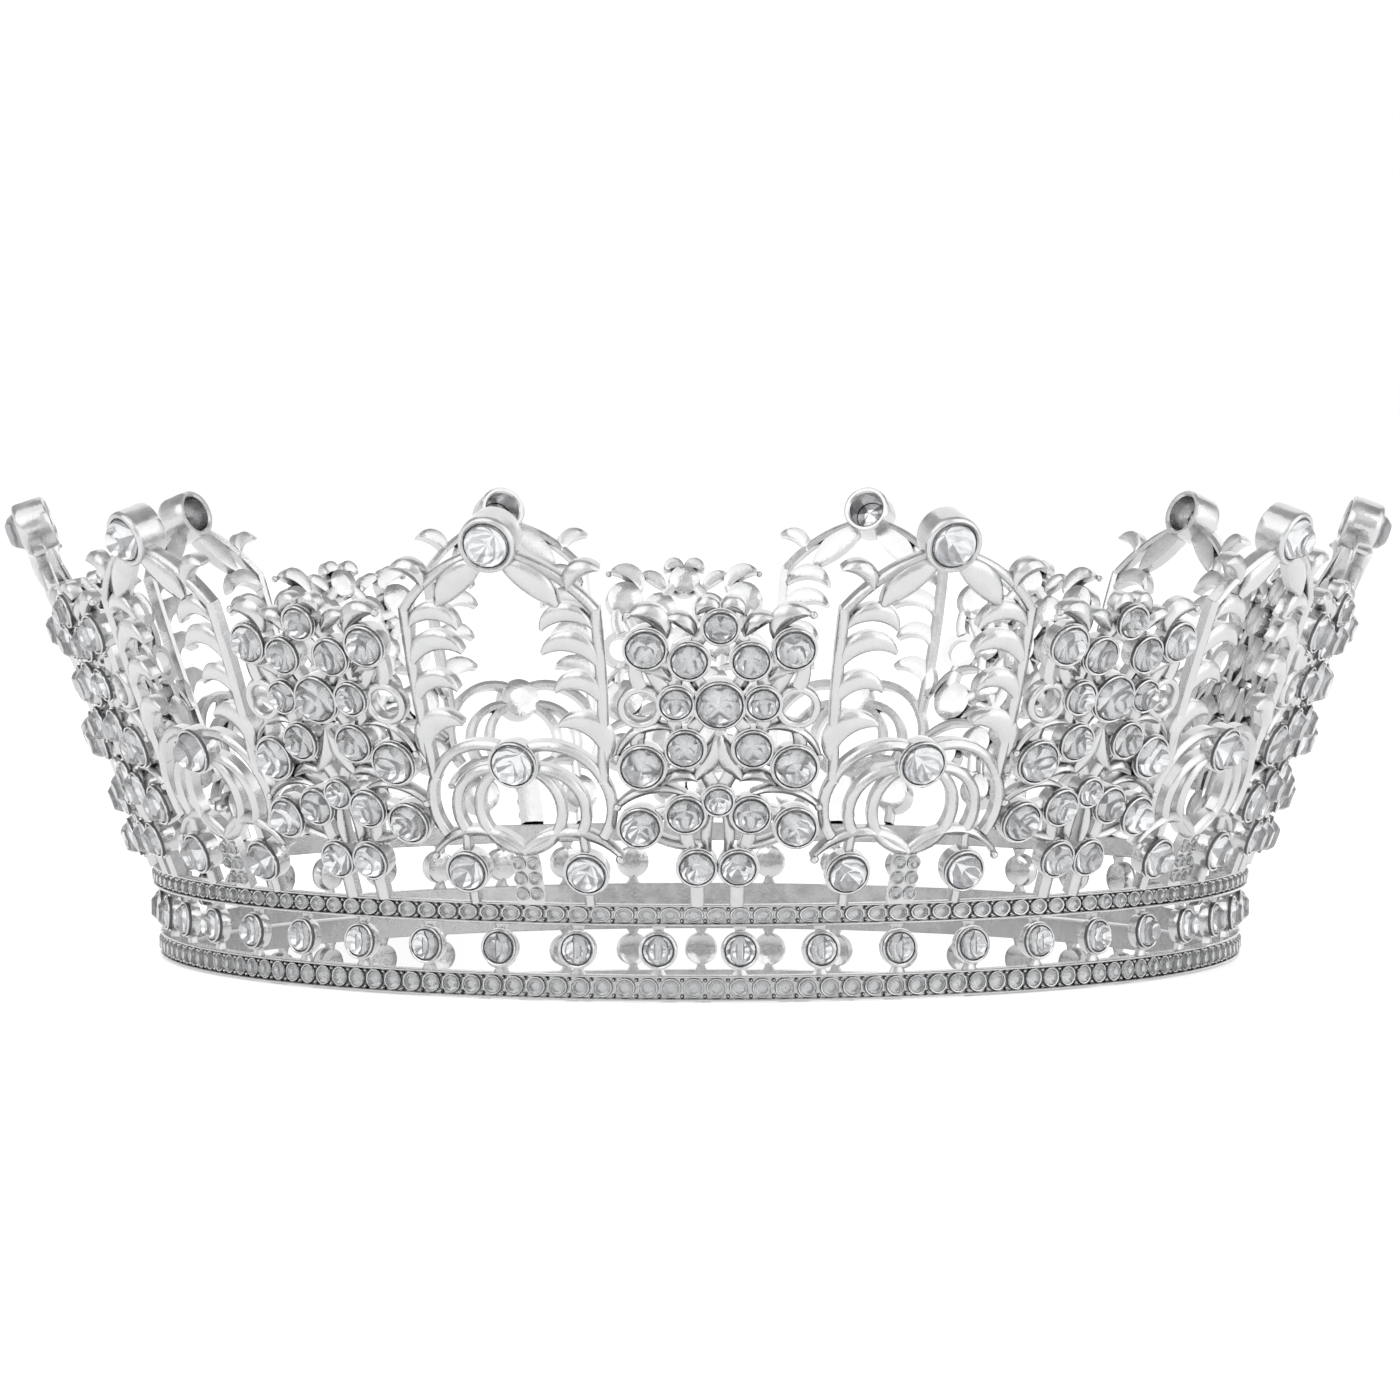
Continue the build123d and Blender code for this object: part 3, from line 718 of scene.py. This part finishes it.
def add_world():
    """A white tent, open to a dim ceiling, darker where the camera stands and brighter behind.
    The metal and the facets reflect it; the camera itself sees it as plain white."""
    world = bpy.data.worlds.new("studio")
    bpy.context.scene.world = world
    world.use_nodes = True
    nodes, links = world.node_tree.nodes, world.node_tree.links
    sky = nodes["Background"]
    where = nodes.new("ShaderNodeTexCoord").outputs["Generated"]

    def dimmed(level, direction, start, end, amount):
        """The level, less an amount of it towards a direction; a negative amount adds to it."""
        towards = nodes.new("ShaderNodeVectorMath")
        towards.operation = "DOT_PRODUCT"
        towards.inputs[1].default_value = direction
        links.new(where, towards.inputs[0])
        keep = nodes.new("ShaderNodeMapRange")
        keep.interpolation_type = "SMOOTHSTEP"
        keep.inputs["From Min"].default_value, keep.inputs["From Max"].default_value = start, end
        keep.inputs["To Min"].default_value, keep.inputs["To Max"].default_value = 1, 1 - amount
        links.new(towards.outputs["Value"], keep.inputs["Value"])
        product = nodes.new("ShaderNodeMath")
        product.operation = "MULTIPLY"
        links.new(level, product.inputs[0])
        links.new(keep.outputs["Result"], product.inputs[1])
        return product.outputs["Value"]

    panels = nodes.new("ShaderNodeTexNoise")
    panels.inputs["Scale"].default_value = 3.5
    panels.inputs["Detail"].default_value = 2.0
    links.new(where, panels.inputs["Vector"])
    level = nodes.new("ShaderNodeMapRange")
    level.inputs["From Min"].default_value, level.inputs["From Max"].default_value = 0.35, 0.62
    level.inputs["To Min"].default_value, level.inputs["To Max"].default_value = 0.75, 1.3
    links.new(panels.outputs["Fac"], level.inputs["Value"])
    level = dimmed(level.outputs["Result"], (0, 0.35, 0.94), 0.3, 0.75, 0.6)
    level = dimmed(level, (0, -1, 0.05), 0.92, 0.985, 0.4)
    level = dimmed(level, (0, 1, 0.06), 0.95, 0.985, -0.5)
    path = nodes.new("ShaderNodeLightPath")
    seen = nodes.new("ShaderNodeMix")
    seen.data_type = "FLOAT"
    seen.inputs["B"].default_value = 1.0
    links.new(path.outputs["Is Camera Ray"], seen.inputs["Factor"])
    links.new(level, seen.inputs["A"])
    links.new(seen.outputs["Result"], sky.inputs["Color"])
    sky.inputs["Strength"].default_value = 1.0


# --- the crown ------------------------------------------------------------------------------------
def build_crown():
    """Every piece, each in the place of its CAD node."""
    peaks = [STEP / 2 + number * STEP for number in range(TIPS)]
    fans = [number * STEP for number in range(TIPS)]
    bead_turns = [number * 360 / BEADS for number in range(BEADS)]
    band_turns = [BAND_START + number * 360 / BAND_STONES for number in range(BAND_STONES)]
    make_object("rail_lower", rail(**LOWER_RAIL), ["lower_rail"])
    make_object("rail_upper", rail(**UPPER_RAIL), ["upper_rail"])
    for name, sizes in (("lower_rail", LOWER_RAIL), ("upper_rail", UPPER_RAIL)):
        stand = upright(sizes["outer"] - GROOVE_DEPTH, (sizes["foot"] + sizes["top"]) / 2)
        make_object("seeds_" + name, round_the_crown(bead_row(**sizes), bead_turns, stand),
                    [name + "_beads"])
    band = upright(BAND_RADIUS, BAND_HEIGHT)
    make_object("band_cups", round_the_crown(band_setting(), band_turns, band), ["band_settings"])
    make_object("band_crystals", round_the_crown(stone(BAND_STONE_D, -GIRDLE_SUNK), band_turns, band),
                ["band_stones"])
    for kind, casting, turns in (("peak", peak_casting(), peaks), ("fan", fan_casting(), fans)):
        for number, turn in enumerate(turns, 1):
            make_object(f"{kind}_casting_{number:02d}", round_the_crown(casting, [turn]),
                        [f"{kind}_frame_{number:02d}"])
    tip = spot(0, TIP_HEIGHT)
    moved = Shape()
    moved.join(tip_cup(), at(tip))
    make_object("tip_cups", round_the_crown(moved, peaks), ["tip_settings"])
    tip_girdle = TIP_CUP_PROUD - GIRDLE_SUNK
    groups = [
        ("tip_crystals", "tip_stones", [(0, TIP_HEIGHT, TIP_STONE_D)], peaks, tip_girdle),
        ("peak_crystals", "peak_stones", [PEAK_STONE], peaks, GIRDLE_PROUD),
        ("flank_crystals", "flank_stones", both_sides([FLANK_STONE]), peaks, GIRDLE_PROUD),
        ("fan_crystals_large", "fan_stones_large", both_sides(FAN_LARGE), fans, GIRDLE_PROUD),
        ("fan_crystals_medium", "fan_stones_medium", both_sides(FAN_MEDIUM), fans, GIRDLE_PROUD),
        ("fan_crystals_small", "fan_stones_small", both_sides(FAN_SMALL), fans, GIRDLE_PROUD),
    ]
    for name, node, stones, turns, girdle in groups:
        motif = Shape()
        for angle, height, size in stones:
            spin = 0.7 * angle + 0.13 * height
            motif.join(stone(size, girdle), at(spot(angle, height), spin=spin))
        make_object(name, round_the_crown(motif, turns), [node])
    motif = Shape()
    for angle, height in STEM_BEADS:
        motif.join(seed(STEM_BEAD_D - 0.1, STEM_SEED_HEIGHT), at(spot(angle, height), 0.05, angle))
    make_object("stem_crystals", round_the_crown(motif, peaks), ["stem_beads"])


# groove_shadow is a near-black silver whose colour is painted shadow in the gaps round the stones.
MATERIALS += [silver("bright_silver"), crystal(), foil(),
              silver("groove_shadow", (0.17, 0.17, 0.175), 0.5), silver("polished_cup", shine=0.08)]
add_camera()
add_floor()
add_world()
for softbox in SOFTBOXES:
    add_softbox(*softbox)
build_crown()
bpy.context.scene.view_settings.view_transform = "Standard"
bpy.context.scene.view_settings.gamma = GAMMA
